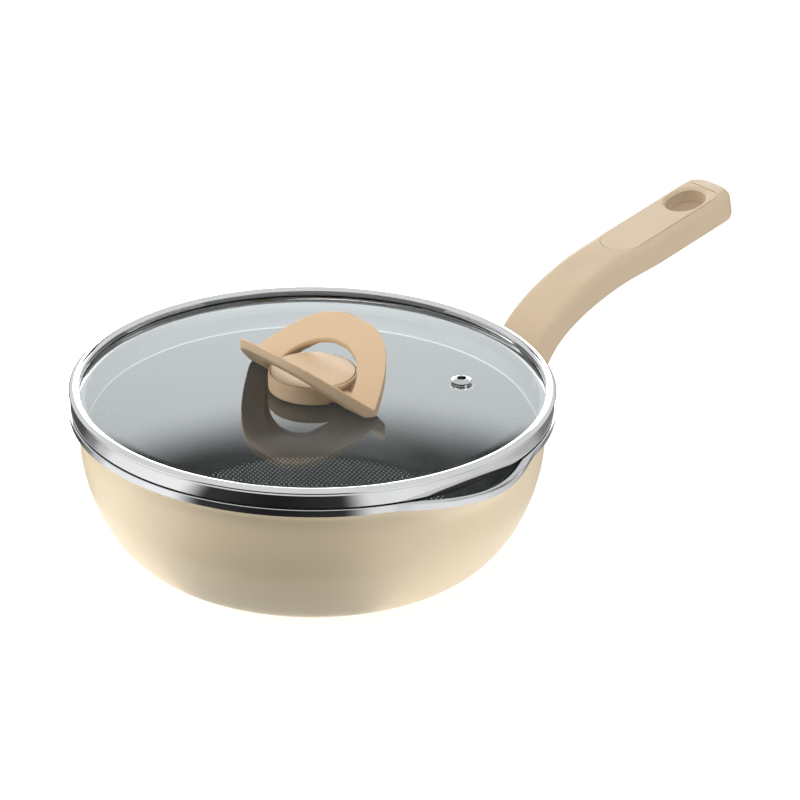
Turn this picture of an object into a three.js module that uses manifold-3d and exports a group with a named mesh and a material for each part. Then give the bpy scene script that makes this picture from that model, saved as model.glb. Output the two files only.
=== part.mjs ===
// A wide saucepan with a pouring lip, a long moulded handle and a glass lid with a winged knob.
// Units are millimetres. Z is up, the handle points along +X and the pouring lip along -Y.
// The origin is the middle of the base, on the surface that the pan stands on.
import * as THREE from 'three';
import { mergeVertices } from 'three/addons/utils/BufferGeometryUtils.js';
import Module from 'manifold-3d';

const wasm = await Module();
wasm.setup();

// ---------- driving dimensions ----------
const degrees = Math.PI / 180;
const roundSegments = 64; // flats round the pan and the lid

// Fits
const seatGap = 0.3; // between a piece and the pocket that it sits in
const contactGap = 0.25; // between faces that rest on each other

// Pan
const rimRadius = 122.5;
const panHeight = 78.2;
const baseRadius = 80.6;
const bellyInset = 5.3; // the wall stands this far inside the rim
const bellyHeight = 63; // where the curved side becomes upright
const floorThickness = 4.6;
const wallThickness = 6; // at the lid seat, where the wall is thickest
const baseCornerPull = 19; // how far the base runs on flat before the side curves up
const floorCornerPull = 17; // the same inside, measured back from the wall
const floorCornerRun = 35; // from the inner wall to the flat floor
const rimBandHeight = 3.9; // the polished band
const rimWidth = 3.6; // across the rim's flat top
const rimRounding = 1.1;
const seatDepth = 12; // from the rim down to the edge that the flared mouth ends at
const panUndersideZ = 0.3;

// Pouring lip
const lipReach = 11.5;
const lipHalfAngle = 23 * degrees;
const lipOuterDepth = 21; // how far down the outside the lip starts
const lipInnerDepth = 19; // and how far down the inside

// Base plate
const plateMargin = 10.6; // from the plate to the edge of the flat base
const plateThickness = 0.7;

// Lid
const bandInset = 1; // the band stands this far inside the pan's rim
const bandHeight = 7.4;
const bandSheet = 0.9;
const bandLift = 0.6; // the shadow gap between the band and the pan's rim
const beadBulge = 0.5;
const beadWidth = 5.3;
const beadHeight = 2.5;
const skirtDepth = 5.3;
const skirtClearance = 1.2;
const glassThickness = 4;
const glassRise = 1.1;

// Steam vent
const ventReach = 75.3; // from the lid's centre
const ventAngle = -34 * degrees;
const ventBore = 2.4;
const ventWall = 0.7;
const ventFlangeRadius = 5.5;
const ventCollarHeight = 1.3;

// Knob
const puckRadius = 22.5;
const puckHeight = 9.9;
const capThickness = 2.4;
const capRimWidth = 1.0;
const wingSpan = 94.6; // tip to tip along the fold
const wingReach = 30.5; // sideways from the fold
const wingWindowSpan = 55;
const wingWindowReach = 18.4;
const wingSlope = 39.3 * degrees;
const foldHeight = 5; // the fold's upper line above the glass
const keelWidth = 8.6;
const keelClearance = 0.6;
const wingEdgeHeight = 5.4;
const keelSlotMargin = 2.7;

// Knob fastening
const screwRadius = 2.4;
const screwHeadRadius = 4.6;
const screwHeadHeight = 2.6;
const insertWall = 1.8;
const insertLength = 5;
const washerRadius = 8;
const washerThickness = 1;
const sealThickness = 1;

// Handle
const rootGap = 2.3; // from the wall to the handle's end
const rootDrop = 18.2; // from the rim down to the top of the root
const rootSlope = 12 * degrees;
const rootThickness = 24;
const neckRun = 23.5; // outward from the root
const neckRise = 15.5; // upward from the root
const neckSlope = 50 * degrees;
const neckThickness = 16;
const gripRun = 83.5;
const gripRise = 46.4;
const gripSlope = 12.8 * degrees;
const gripLength = 86;
const gripThickness = 18.4;
const handleWidth = 31;
const handleEdgeRadius = 4;
const tipCornerRadius = 12;
const tipSideRadius = 5.5;

// Handle inlay and hang hole
const inlayLength = 74;
const inlayWidth = 25;
const inlayThickness = 2.2;
const inlayTipMargin = 11;
const inlayCornerRadius = 5;
const holeLength = 23;
const holeWidth = 19.5;
const holeTipMargin = 13.8; // from the hole to the end of the handle
const collarWall = 1.6;
const collarDepth = 9;

// Handle fastening
const bossWidth = 20;
const bossHeight = 14;
const bossReach = 13.8; // from the wall to the boss's end
const bossDrop = 12; // from the top of the root down to the boss's middle
const bossSink = 4; // the weld foot is cut from a bar that starts this far inside the wall
const screwSeatWall = 6; // left between the boss's pocket and the screw's seat
const handleScrewReach = 15;
const screwHoleClearance = 0.6; // round a screw in a moulding
const screwWellClearance = 1.2; // round a screw's head in its well

// ---------- materials ----------
const surface = (color, roughness, metalness) =>
  new THREE.MeshStandardMaterial({ color, roughness, metalness });
const creamEnamel = surface(0xe9d9bb, 0.42, 0);
const beigeMoulding = surface(0xdcc4a4, 0.55, 0);
const polishedSteel = surface(0xd2d4d6, 0.15, 1);
const brushedSteel = surface(0xb9bbbd, 0.35, 1);
const aluminium = surface(0xc4c6c8, 0.4, 1);
const brass = surface(0xc9a65a, 0.35, 1);
const silicone = surface(0x4a4a4a, 0.7, 0);
const clearGlass = surface(0xcfe0de, 0.05, 0);
clearGlass.transparent = true;
clearGlass.opacity = 0.35;

// ---------- helpers ----------
// Joins shared corners, drops collapsed triangles and turns the faces outward.
function weld(geometry) {
  geometry.deleteAttribute('normal');
  geometry.deleteAttribute('uv');
  const merged = mergeVertices(geometry, 1e-3);
  const corners = merged.index.array;
  const kept = [];
  for (let i = 0; i < corners.length; i += 3) {
    const [a, b, c] = [corners[i], corners[i + 1], corners[i + 2]];
    if (a !== b && b !== c && c !== a) kept.push(a, b, c);
  }
  if (signedVolume(merged.attributes.position, kept) < 0) kept.reverse();
  merged.setIndex(kept);
  return merged;
}

function signedVolume(position, corners) {
  const [a, b, c] = [new THREE.Vector3(), new THREE.Vector3(), new THREE.Vector3()];
  let volume = 0;
  for (let i = 0; i < corners.length; i += 3) {
    a.fromBufferAttribute(position, corners[i]);
    b.fromBufferAttribute(position, corners[i + 1]);
    c.fromBufferAttribute(position, corners[i + 2]);
    volume += a.dot(b.cross(c)) / 6;
  }
  return volume;
}

function solid(geometry) {
  const { attributes, index } = weld(geometry);
  const vertProperties = new Float32Array(attributes.position.array);
  const triVerts = new Uint32Array(index.array);
  return new wasm.Manifold(new wasm.Mesh({ numProp: 3, vertProperties, triVerts }));
}

function geometryOf(manifold) {
  const mesh = manifold.getMesh();
  const geometry = new THREE.BufferGeometry();
  geometry.setAttribute('position', new THREE.BufferAttribute(mesh.vertProperties, 3));
  geometry.setIndex(new THREE.BufferAttribute(mesh.triVerts, 1));
  return geometry;
}

function piece(name, geometry, material) {
  geometry.computeVertexNormals();
  const mesh = new THREE.Mesh(geometry, material);
  mesh.name = name;
  return mesh;
}

// A turned shape. The profile is [radius, height] pairs.
function turned(profile, segments = 48) {
  const points = profile.map(([radius, height]) => new THREE.Vector2(radius, height));
  return new THREE.LatheGeometry(points, segments).rotateX(90 * degrees);
}

// A turned ring of rectangular section.
function ring(innerRadius, outerRadius, low, high, segments = 48) {
  const section = [
    [innerRadius, low], [outerRadius, low], [outerRadius, high], [innerRadius, high], [innerRadius, low],
  ];
  return turned(section, segments);
}

// A turned disc of rectangular section.
function disc(radius, low, high, segments = 48) {
  return turned([[0, low], [radius, low], [radius, high], [0, high]], segments);
}

function curvePoints(start, startHandle, endHandle, end, steps) {
  const corners = [start, startHandle, endHandle, end].map(([x, y]) => new THREE.Vector2(x, y));
  return new THREE.CubicBezierCurve(...corners).getPoints(steps).map((p) => [p.x, p.y]);
}

function outline(points) {
  return new THREE.Shape(points.map(([x, y]) => new THREE.Vector2(x, y)));
}

// A plan outline pushed upward from one height to another.
function upright(shape, low, high, curveSegments = 6) {
  const options = { depth: high - low, bevelEnabled: false, curveSegments };
  return new THREE.ExtrudeGeometry(shape, options).translate(0, 0, low);
}

// A side outline, drawn in X and Z, pushed across the handle to the given width.
function crosswise(shape, width, edgeRadius = 0) {
  const options = {
    depth: width - 2 * edgeRadius,
    bevelEnabled: edgeRadius > 0,
    bevelThickness: edgeRadius,
    bevelSize: edgeRadius,
    bevelOffset: -edgeRadius,
    bevelSegments: 3,
    curveSegments: 5,
  };
  const geometry = new THREE.ExtrudeGeometry(shape, options);
  return geometry.translate(0, 0, edgeRadius - width / 2).rotateX(90 * degrees);
}

function roundedBox(length, width, radius) {
  const [x, y] = [length / 2, width / 2];
  const shape = new THREE.Shape();
  shape.moveTo(-x + radius, -y).lineTo(x - radius, -y);
  shape.absarc(x - radius, -y + radius, radius, -90 * degrees, 0, false);
  shape.lineTo(x, y - radius);
  shape.absarc(x - radius, y - radius, radius, 0, 90 * degrees, false);
  shape.lineTo(-x + radius, y);
  shape.absarc(-x + radius, y - radius, radius, 90 * degrees, 180 * degrees, false);
  shape.lineTo(-x, -y + radius);
  shape.absarc(-x + radius, -y + radius, radius, 180 * degrees, 270 * degrees, false);
  return shape;
}

const smooth = (value) => THREE.MathUtils.smoothstep(value, 0, 1);

// ---------- pan ----------
const wallRadius = rimRadius - bellyInset;
const innerRadius = wallRadius - wallThickness;
const seatEdgeZ = panHeight - seatDepth;
const rimLowZ = panHeight - rimBandHeight;
const mouthRadius = rimRadius - rimWidth;
const plateRadius = baseRadius - plateMargin;
const plateRecessZ = plateThickness + seatGap;

function outerSide(inflate = 0) {
  const side = curvePoints(
    [baseRadius, panUndersideZ],
    [baseRadius + baseCornerPull, panUndersideZ],
    [wallRadius, bellyHeight * 0.54],
    [wallRadius, bellyHeight],
    9,
  );
  return side.map(([radius, height]) => [radius + inflate, height]);
}

function innerSide() {
  return curvePoints(
    [innerRadius, seatEdgeZ],
    [innerRadius, seatEdgeZ * 0.55],
    [innerRadius - floorCornerPull, floorThickness],
    [innerRadius - floorCornerRun, floorThickness],
    8,
  );
}

function panSection() {
  const recessRadius = plateRadius + seatGap;
  return [
    [0, plateRecessZ],
    [recessRadius, plateRecessZ],
    [recessRadius, panUndersideZ],
    ...outerSide(),
    [wallRadius, rimLowZ - 5],
    [wallRadius + 0.8, rimLowZ - 2.6],
    [rimRadius - 1.9, rimLowZ],
    [rimRadius, panHeight - rimRounding],
    [rimRadius - rimRounding, panHeight],
    [mouthRadius, panHeight],
    ...innerSide(),
    [0, floorThickness],
  ];
}

// How far the pouring lip pushes a point of the wall outward.
function lipPush(azimuth, height, startHeight) {
  const offAxis = Math.abs(azimuth + 90 * degrees) / lipHalfAngle;
  if (offAxis >= 1 || height <= startHeight) return 0;
  const rise = smooth((height - startHeight) / (panHeight - startHeight));
  return lipReach * rise * smooth(1 - offAxis) ** 0.8;
}

function makePanBody() {
  const geometry = turned(panSection(), roundSegments);
  const position = geometry.attributes.position;
  for (let i = 0; i < position.count; i++) {
    const [x, y, z] = [position.getX(i), position.getY(i), position.getZ(i)];
    const radius = Math.hypot(x, y);
    const outside = radius > (wallRadius + innerRadius) / 2 && (radius > mouthRadius || z < rimLowZ);
    const startHeight = panHeight - (outside ? lipOuterDepth : lipInnerDepth);
    const push = radius > 0 ? lipPush(Math.atan2(y, x), z, startHeight) : 0;
    if (push > 0) position.setXY(i, x * (1 + push / radius), y * (1 + push / radius));
  }
  return piece('pan_body', weld(geometry), creamEnamel);
}

function makeBasePlate() {
  return piece('base_plate', weld(disc(plateRadius, 0, plateThickness, roundSegments)), brushedSteel);
}

// ---------- lid ----------
const bandRadius = rimRadius - bandInset;
const bandLowZ = panHeight + bandLift;
const bandHighZ = bandLowZ + bandHeight;
const flangeTopZ = bandLowZ + bandSheet;
const glassEdgeBottomZ = flangeTopZ + contactGap;
const glassEdgeTopZ = glassEdgeBottomZ + glassThickness;
const glassRadius = bandRadius - bandSheet - seatGap;
const beadInnerRadius = bandRadius + beadBulge - beadWidth;
const beadCrownZ = bandHighZ + beadHeight;
const beadMiddle = (bandRadius + beadInnerRadius) / 2;

// The height of the glass's upper face at a distance from the lid's centre.
function glassTop(radius) {
  const share = radius / glassRadius;
  return glassEdgeTopZ + glassRise * (1 - share * share);
}

const knobGlassZ = glassTop(0);
const glassUnderZ = knobGlassZ - glassThickness;

function skirtRadius() {
  const depthShare = (panHeight - (bandLowZ - skirtDepth)) / seatDepth;
  return THREE.MathUtils.lerp(mouthRadius, innerRadius, depthShare) - skirtClearance;
}

function makeLidBand() {
  const skirt = skirtRadius();
  const skirtLowZ = bandLowZ - skirtDepth;
  const section = [
    [bandRadius, bandLowZ],
    [bandRadius, bandHighZ - 0.2],
    [bandRadius - 0.4, bandHighZ],
    [bandRadius + beadBulge, bandHighZ + beadHeight * 0.45],
    [bandRadius - 0.3, beadCrownZ - 0.4],
    [beadInnerRadius + 1.2, beadCrownZ - 0.4],
    [beadInnerRadius, bandHighZ + beadHeight * 0.3],
    [beadInnerRadius, glassEdgeTopZ + seatGap],
    [beadInnerRadius + bandSheet, glassEdgeTopZ + seatGap],
    [beadInnerRadius + bandSheet, bandHighZ + beadHeight * 0.2],
    [beadMiddle, beadCrownZ - bandSheet - 0.4],
    [bandRadius - bandSheet, bandHighZ + beadHeight * 0.2],
    [bandRadius - bandSheet, flangeTopZ],
    [skirt - bandSheet, flangeTopZ],
    [skirt - bandSheet, skirtLowZ],
    [skirt, skirtLowZ],
    [skirt, bandLowZ],
    [bandRadius, bandLowZ],
  ];
  return piece('lid_rim_band', weld(turned(section, roundSegments)), polishedSteel);
}

function ventPlace(geometry) {
  return geometry.translate(ventReach * Math.cos(ventAngle), ventReach * Math.sin(ventAngle), 0);
}

const ventBarrelRadius = ventBore + ventWall;
const ventHoleRadius = ventBarrelRadius + seatGap;
const knobHoleRadius = screwRadius + 1;

function makeLidGlass() {
  const shares = [0, 0.35, 0.65, 0.97];
  const upper = shares.map((share) => [share * glassRadius, glassTop(share * glassRadius)]);
  const lower = upper.map(([radius, height]) => [radius, height - glassThickness]).reverse();
  const edge = [[glassRadius, glassEdgeTopZ - 0.8], [glassRadius, glassEdgeBottomZ + 0.8]];
  const [low, high] = [glassEdgeBottomZ - 1, knobGlassZ + 1];
  const glass = solid(turned([...upper, ...edge, ...lower], roundSegments))
    .subtract(solid(disc(knobHoleRadius, low, high, 24)))
    .subtract(solid(ventPlace(disc(ventHoleRadius, low, high, 20))));
  return piece('lid_glass', geometryOf(glass), clearGlass);
}

// ---------- steam vent ----------
const ventGlassZ = glassTop(ventReach - ventFlangeRadius);
const ventGlassLowZ = glassTop(ventReach + ventFlangeRadius) - glassThickness;
const ventGasketThickness = 0.5;
const ventFlangeThickness = 0.6;
const ventWasherThickness = 0.8;

const ventGasketZ = ventGlassZ + contactGap;
const ventFlangeZ = ventGasketZ + ventGasketThickness + contactGap;
const ventWasherTopZ = ventGlassLowZ - contactGap;
const ventWasherZ = ventWasherTopZ - ventWasherThickness;
const ventRollTopZ = ventWasherZ - contactGap;

function makeVentEyelet() {
  const rollRadius = ventBarrelRadius + 1.2;
  const section = [
    [ventBore, ventRollTopZ - 0.6],
    [rollRadius, ventRollTopZ - 0.6],
    [rollRadius, ventRollTopZ],
    [ventBarrelRadius, ventRollTopZ],
    [ventBarrelRadius, ventFlangeZ],
    [ventFlangeRadius - 0.2, ventFlangeZ],
    [ventFlangeRadius, ventFlangeZ + ventFlangeThickness * 0.5],
    [ventFlangeRadius - 0.3, ventFlangeZ + ventFlangeThickness],
    [ventBarrelRadius + 0.4, ventFlangeZ + ventFlangeThickness],
    [ventBarrelRadius + 0.2, ventFlangeZ + ventCollarHeight],
    [ventBore + 0.3, ventFlangeZ + ventCollarHeight],
    [ventBore, ventFlangeZ + ventCollarHeight - 0.3],
    [ventBore, ventRollTopZ - 0.6],
  ];
  return piece('vent_eyelet', weld(ventPlace(turned(section, 20))), polishedSteel);
}

function makeVentGasket() {
  const bore = ventBarrelRadius + seatGap;
  const gasket = ring(bore, ventFlangeRadius - 0.5, ventGasketZ, ventGasketZ + ventGasketThickness, 20);
  return piece('vent_gasket', weld(ventPlace(gasket)), silicone);
}

function makeVentWasher() {
  const washer = ring(ventBarrelRadius + seatGap, ventFlangeRadius + 0.8, ventWasherZ, ventWasherTopZ, 20);
  return piece('vent_washer', weld(ventPlace(washer)), brushedSteel);
}

// ---------- knob ----------
const puckLowZ = knobGlassZ + contactGap;
const puckHighZ = knobGlassZ + puckHeight;
const capRadius = puckRadius - capRimWidth - seatGap;
const capLowZ = puckHighZ - capThickness;
const keelLowZ = knobGlassZ + keelClearance;
const insertRadius = screwRadius + contactGap + insertWall;
const insertHighZ = capLowZ - 0.8;
const insertLowZ = insertHighZ - insertLength;
const sealRecessZ = puckLowZ + sealThickness;
const puckPocketRadius = puckRadius - 4.1;
const puckPocketZ = sealRecessZ + 1.4;

// One oval half-width of the wings' plan at a place along the fold.
function ovalReach(along, halfSpan, reach, fullness, taper) {
  const share = Math.min(1, Math.abs(along) / halfSpan);
  return reach * (1 - share ** fullness) ** taper;
}

function ovalShape(span, reach, fullness, taper, steps) {
  const half = span / 2;
  const side = (sign) => Array.from({ length: steps }, (unused, i) => {
    const along = -sign * half * Math.cos((Math.PI * i) / steps);
    return [sign * ovalReach(along, half, reach, fullness, taper), along];
  });
  return outline([...side(1), ...side(-1)]);
}

function wingSolid() {
  const outer = wingReach + 4;
  const topRise = Math.tan(wingSlope);
  const foldZ = knobGlassZ + foldHeight;
  const underRise = (foldZ + wingReach * topRise - wingEdgeHeight - keelLowZ) / (wingReach - keelWidth / 2);
  const underEdgeZ = keelLowZ + (outer - keelWidth / 2) * underRise;
  const section = outline([
    [-outer, foldZ + outer * topRise],
    [-outer, underEdgeZ],
    [-keelWidth / 2, keelLowZ],
    [keelWidth / 2, keelLowZ],
    [outer, underEdgeZ],
    [outer, foldZ + outer * topRise],
    [0, foldZ],
  ]);
  const [low, high] = [keelLowZ - 5, foldZ + outer * topRise + 5];
  return solid(crosswise(section, wingSpan + 10))
    .intersect(solid(upright(ovalShape(wingSpan, wingReach, 2.8, 0.95, 16), low, high)))
    .subtract(solid(upright(ovalShape(wingWindowSpan, wingWindowReach, 2.1, 0.59, 12), low - 1, high + 1)));
}

// The slots that the fold's two bars enter, under the puck's top.
function keelSlot(side) {
  const slotWidth = keelWidth + 2 * keelSlotMargin;
  const [start, length] = [puckRadius - 2.1, 10];
  const slot = new THREE.BoxGeometry(slotWidth, length, capLowZ - puckLowZ);
  slot.translate(0, side * (start + length / 2), (capLowZ + puckLowZ) / 2 - 1);
  return solid(slot);
}

function keelBar(side) {
  const [start, end] = [puckRadius - 3, wingWindowSpan / 2 + 2];
  const bar = new THREE.BoxGeometry(keelWidth, end - start, foldHeight - keelClearance);
  bar.translate(0, side * (start + end) / 2, (keelLowZ + knobGlassZ + foldHeight) / 2);
  return solid(bar);
}

function makeKnobBody() {
  const puck = solid(turned([
    [0, puckLowZ],
    [puckRadius - 0.4, puckLowZ],
    [puckRadius, puckLowZ + 0.4],
    [puckRadius, puckHighZ - 0.9],
    [puckRadius - 0.5, puckHighZ - 0.2],
    [puckRadius - capRimWidth, puckHighZ - 0.2],
    [puckRadius - capRimWidth, capLowZ - contactGap],
    [0, capLowZ - contactGap],
  ], 64));
  const pocket = ring(insertRadius + 3.2, puckPocketRadius, puckPocketZ, capLowZ + 1, 40);
  const insertHole = disc(insertRadius + contactGap, insertLowZ, capLowZ + 1, 24);
  const screwHole = disc(screwRadius + screwHoleClearance, puckLowZ - 1, capLowZ, 24);
  const sealRecess = disc(washerRadius + 5.3, puckLowZ - 1, sealRecessZ, 32);
  const knob = puck
    .subtract(solid(pocket)).subtract(solid(insertHole))
    .subtract(solid(screwHole)).subtract(solid(sealRecess))
    .subtract(keelSlot(1)).subtract(keelSlot(-1))
    .add(keelBar(1)).add(keelBar(-1))
    .add(wingSolid());
  return piece('knob_body', geometryOf(knob), beigeMoulding);
}

function makeKnobCap() {
  const cap = turned([
    [0, capLowZ],
    [capRadius, capLowZ],
    [capRadius, puckHighZ - 0.4],
    [capRadius - 0.5, puckHighZ],
    [0, puckHighZ + 0.2],
  ], 64);
  return piece('knob_cap', weld(cap), beigeMoulding);
}

function makeKnobFastening() {
  const sealBore = screwRadius + seatGap;
  const upperSealZ = knobGlassZ + contactGap / 2;
  const lowerSealTopZ = glassUnderZ - contactGap;
  const washerTopZ = lowerSealTopZ - sealThickness - contactGap;
  const headTopZ = washerTopZ - washerThickness - contactGap;
  const insert = ring(screwRadius + contactGap, insertRadius, insertLowZ, insertHighZ - 0.3, 24);
  const upperSeal = ring(sealBore, washerRadius + 5, upperSealZ, upperSealZ + sealThickness * 0.9, 40);
  const lowerSeal = ring(sealBore, washerRadius - 0.5, lowerSealTopZ - sealThickness, lowerSealTopZ, 32);
  const washer = ring(sealBore, washerRadius, washerTopZ - washerThickness, washerTopZ, 32);
  const screw = turned([
    [0, headTopZ - screwHeadHeight + 0.6],
    [1.6, headTopZ - screwHeadHeight],
    [screwHeadRadius - 1, headTopZ - screwHeadHeight],
    [screwHeadRadius, headTopZ - screwHeadHeight + 1],
    [screwHeadRadius, headTopZ],
    [screwRadius, headTopZ],
    [screwRadius, insertHighZ - 1.4],
    [screwRadius - 0.6, insertHighZ - 0.8],
    [0, insertHighZ - 0.8],
  ], 24);
  return [
    piece('knob_insert', weld(insert), brass),
    piece('knob_upper_seal', weld(upperSeal), silicone),
    piece('knob_lower_seal', weld(lowerSeal), silicone),
    piece('knob_washer', weld(washer), brushedSteel),
    piece('knob_screw', weld(screw), brushedSteel),
  ];
}

// ---------- handle ----------
const rootX = wallRadius + rootGap;
const rootTopZ = panHeight - rootDrop;
const gripStart = [rootX + gripRun, rootTopZ + gripRise];
const bossEndX = wallRadius + bossReach;
const bossZ = rootTopZ - bossDrop;
const screwSeatX = bossEndX + screwSeatWall;

const direction = (angle) => [Math.cos(angle), Math.sin(angle)];

// Places along the handle's upper line, each with its direction and the handle's thickness there.
function upperLine() {
  const stations = [
    { at: [rootX, rootTopZ], angle: rootSlope, thickness: rootThickness },
    { at: [rootX + neckRun, rootTopZ + neckRise], angle: neckSlope, thickness: neckThickness },
    { at: gripStart, angle: gripSlope, thickness: (neckThickness + gripThickness) / 2 },
    { at: gripPoint(gripLength * 0.33), angle: gripSlope, thickness: gripThickness },
    { at: gripPoint(gripLength), angle: gripSlope, thickness: gripThickness },
  ];
  const pulls = [[0.33, 0.3], [0.25, 0.41], [0.33, 0.33], [0.33, 0.33]];
  const steps = [6, 9, 2, 1];
  return stations.slice(0, -1).flatMap((from, i) => {
    const to = stations[i + 1];
    return stationsBetween(from, to, pulls[i], steps[i]).slice(i === 0 ? 0 : 1);
  });
}

// A point of the grip's straight upper line, a distance from where the grip starts.
function gripPoint(distance) {
  const [dx, dz] = direction(gripSlope);
  return [gripStart[0] + dx * distance, gripStart[1] + dz * distance];
}

function stationsBetween(from, to, [fromPull, toPull], steps) {
  const [start, end] = [new THREE.Vector2(...from.at), new THREE.Vector2(...to.at)];
  const span = start.distanceTo(end);
  const startHandle = new THREE.Vector2(...direction(from.angle)).multiplyScalar(span * fromPull).add(start);
  const endHandle = new THREE.Vector2(...direction(to.angle)).multiplyScalar(-span * toPull).add(end);
  const curve = new THREE.CubicBezierCurve(start, startHandle, endHandle, end);
  return Array.from({ length: steps + 1 }, (unused, i) => {
    const share = i / steps;
    const thickness = THREE.MathUtils.lerp(from.thickness, to.thickness, smooth(share));
    return { point: curve.getPoint(share), tangent: curve.getTangent(share), thickness };
  });
}

function handleSide() {
  const line = upperLine();
  const upper = line.map(({ point }) => [point.x, point.y]);
  const lower = line.map(({ point, tangent, thickness }) =>
    [point.x + tangent.y * thickness, point.y - tangent.x * thickness]);
  const shape = new THREE.Shape();
  const [tipTop, tipLow] = [upper.at(-1), lower.at(-1)];
  shape.moveTo(...lower[0]);
  lower.slice(1, -1).forEach((point) => shape.lineTo(...point));
  shape.lineTo(...towards(tipLow, lower.at(-2), tipSideRadius));
  shape.quadraticCurveTo(...tipLow, ...towards(tipLow, tipTop, tipSideRadius));
  shape.lineTo(...towards(tipTop, tipLow, tipSideRadius));
  shape.quadraticCurveTo(...tipTop, ...towards(tipTop, upper.at(-2), tipSideRadius));
  upper.slice(0, -1).reverse().forEach((point) => shape.lineTo(...point));
  return shape;
}

// The point a distance from one corner on the way to the next.
function towards([x, y], [toX, toY], distance) {
  const share = distance / Math.hypot(toX - x, toY - y);
  return [x + (toX - x) * share, y + (toY - y) * share];
}

// Turns a shape that lies flat at the handle's tip up to the grip's slope. Its X runs back from the tip,
// as negative numbers, and its Z counts from the grip's upper face.
function onGrip(geometry) {
  const [tipX, tipZ] = gripPoint(gripLength);
  return geometry.rotateY(-gripSlope).translate(tipX, 0, tipZ);
}

function inlayPlan(clearance) {
  const [back, front] = [-inlayLength - inlayTipMargin - clearance, -inlayTipMargin + clearance];
  const half = inlayWidth / 2 + clearance;
  const corner = inlayCornerRadius;
  const shape = new THREE.Shape();
  shape.moveTo(front - corner, half).lineTo(back + half, half);
  shape.absarc(back + half, 0, half, 90 * degrees, 270 * degrees, false);
  shape.lineTo(front - corner, -half);
  shape.absarc(front - corner, -half + corner, corner, -90 * degrees, 0, false);
  shape.lineTo(front, half - corner);
  shape.absarc(front - corner, half - corner, corner, 0, 90 * degrees, false);
  return shape;
}

function holePrism(grow, low, high) {
  const [length, width] = [holeLength + 2 * grow, holeWidth + 2 * grow];
  const hole = upright(roundedBox(length, width, width / 2 - 0.3), low, high);
  return onGrip(hole.translate(-holeTipMargin - holeLength / 2, 0, 0));
}

function makeHandleInlay() {
  const surfaceInset = 0.1;
  const panel = solid(onGrip(upright(inlayPlan(0), -inlayThickness, -surfaceInset)));
  const collar = solid(holePrism(collarWall, -collarDepth, -surfaceInset));
  const inlay = panel.add(collar).subtract(solid(holePrism(0, -collarDepth - 1, 1)));
  return piece('handle_inlay', geometryOf(inlay), beigeMoulding);
}

// A round bar along X at the boss's height.
function alongX(radius, from, to, segments = 24) {
  const bar = new THREE.CylinderGeometry(radius, radius, to - from, segments).rotateZ(90 * degrees);
  return bar.translate((from + to) / 2, 0, bossZ);
}

function bossBar(grow, from, to) {
  const plan = roundedBox(bossHeight + 2 * grow, bossWidth + 2 * grow, bossHeight / 2 - 1);
  const bar = upright(plan, from, to).rotateY(90 * degrees);
  return bar.translate(0, 0, bossZ);
}

function makeHandleBody() {
  const [tipX, tipZ] = gripPoint(gripLength);
  const tipReach = tipX + gripThickness * Math.sin(gripSlope) - rootX;
  const plan = roundedBox(tipReach * 2, handleWidth, tipCornerRadius);
  const handle = solid(crosswise(handleSide(), handleWidth, handleEdgeRadius))
    .intersect(solid(upright(plan, 0, tipZ + 20).translate(rootX, 0, 0)))
    .subtract(solid(onGrip(upright(inlayPlan(seatGap), -inlayThickness - contactGap, 5))))
    .subtract(solid(holePrism(0, -gripThickness - 5, 1)))
    .subtract(solid(holePrism(collarWall + seatGap, -collarDepth - contactGap, 1)))
    .subtract(solid(bossBar(seatGap, rootX - 10, bossEndX + seatGap)))
    .subtract(solid(alongX(screwRadius + screwHoleClearance, bossEndX - 1, screwSeatX + 1)))
    .subtract(solid(alongX(screwHeadRadius + screwWellClearance, screwSeatX, screwSeatX + gripRun / 2)));
  return piece('handle_body', geometryOf(handle), beigeMoulding);
}

function makeHandleBoss() {
  const inside = [[0, panUndersideZ], ...outerSide(seatGap), [wallRadius, panHeight], [0, panHeight]];
  const wallCutter = turned(inside, roundSegments);
  const boss = solid(bossBar(0, wallRadius - bossSink, bossEndX))
    .subtract(solid(wallCutter))
    .subtract(solid(alongX(screwRadius + contactGap, bossEndX - handleScrewReach + 6, bossEndX + 1)));
  return piece('handle_boss', geometryOf(boss), aluminium);
}

function makeHandleScrew() {
  const washerEnd = screwSeatX + contactGap + washerThickness;
  const headStart = washerEnd + contactGap;
  const washer = solid(alongX(screwHeadRadius + 0.6, screwSeatX + contactGap, washerEnd))
    .subtract(solid(alongX(screwRadius + seatGap, screwSeatX, washerEnd + 1)));
  const recess = solid(alongX(1.6, headStart + screwHeadHeight - 1.2, headStart + screwHeadHeight + 1, 6));
  const screw = solid(alongX(screwRadius, screwSeatX - handleScrewReach + 2, headStart + 0.5))
    .add(solid(alongX(screwHeadRadius, headStart, headStart + screwHeadHeight)))
    .subtract(recess);
  return [
    piece('handle_washer', geometryOf(washer), brushedSteel),
    piece('handle_screw', geometryOf(screw), brushedSteel),
  ];
}

// ---------- assembly ----------
const pan = new THREE.Group();
pan.add(makePanBody(), makeBasePlate(), makeHandleBoss(), makeHandleBody(), makeHandleInlay(), ...makeHandleScrew());

const lid = new THREE.Group();
lid.add(makeLidGlass(), makeLidBand());
lid.add(makeVentEyelet(), makeVentGasket(), makeVentWasher());
lid.add(makeKnobBody(), makeKnobCap(), ...makeKnobFastening());

const saucepan = new THREE.Group();
saucepan.add(pan, lid);

export default saucepan;
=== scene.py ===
# %% [markdown]
# A wide saucepan with a pouring lip, a long moulded handle and a glass lid with a winged knob.
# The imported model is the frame: it says where each piece is and how the lid lifts. This script
# gives every piece its finished shape and surface. Shapes are drawn in millimetres, with names for
# their sizes, and turned into the frame's metres. Z is up, the handle points along +X and the lip
# along -Y.

# %% Load the frame
import bpy
import math
from mathutils import Matrix, Vector


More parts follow.
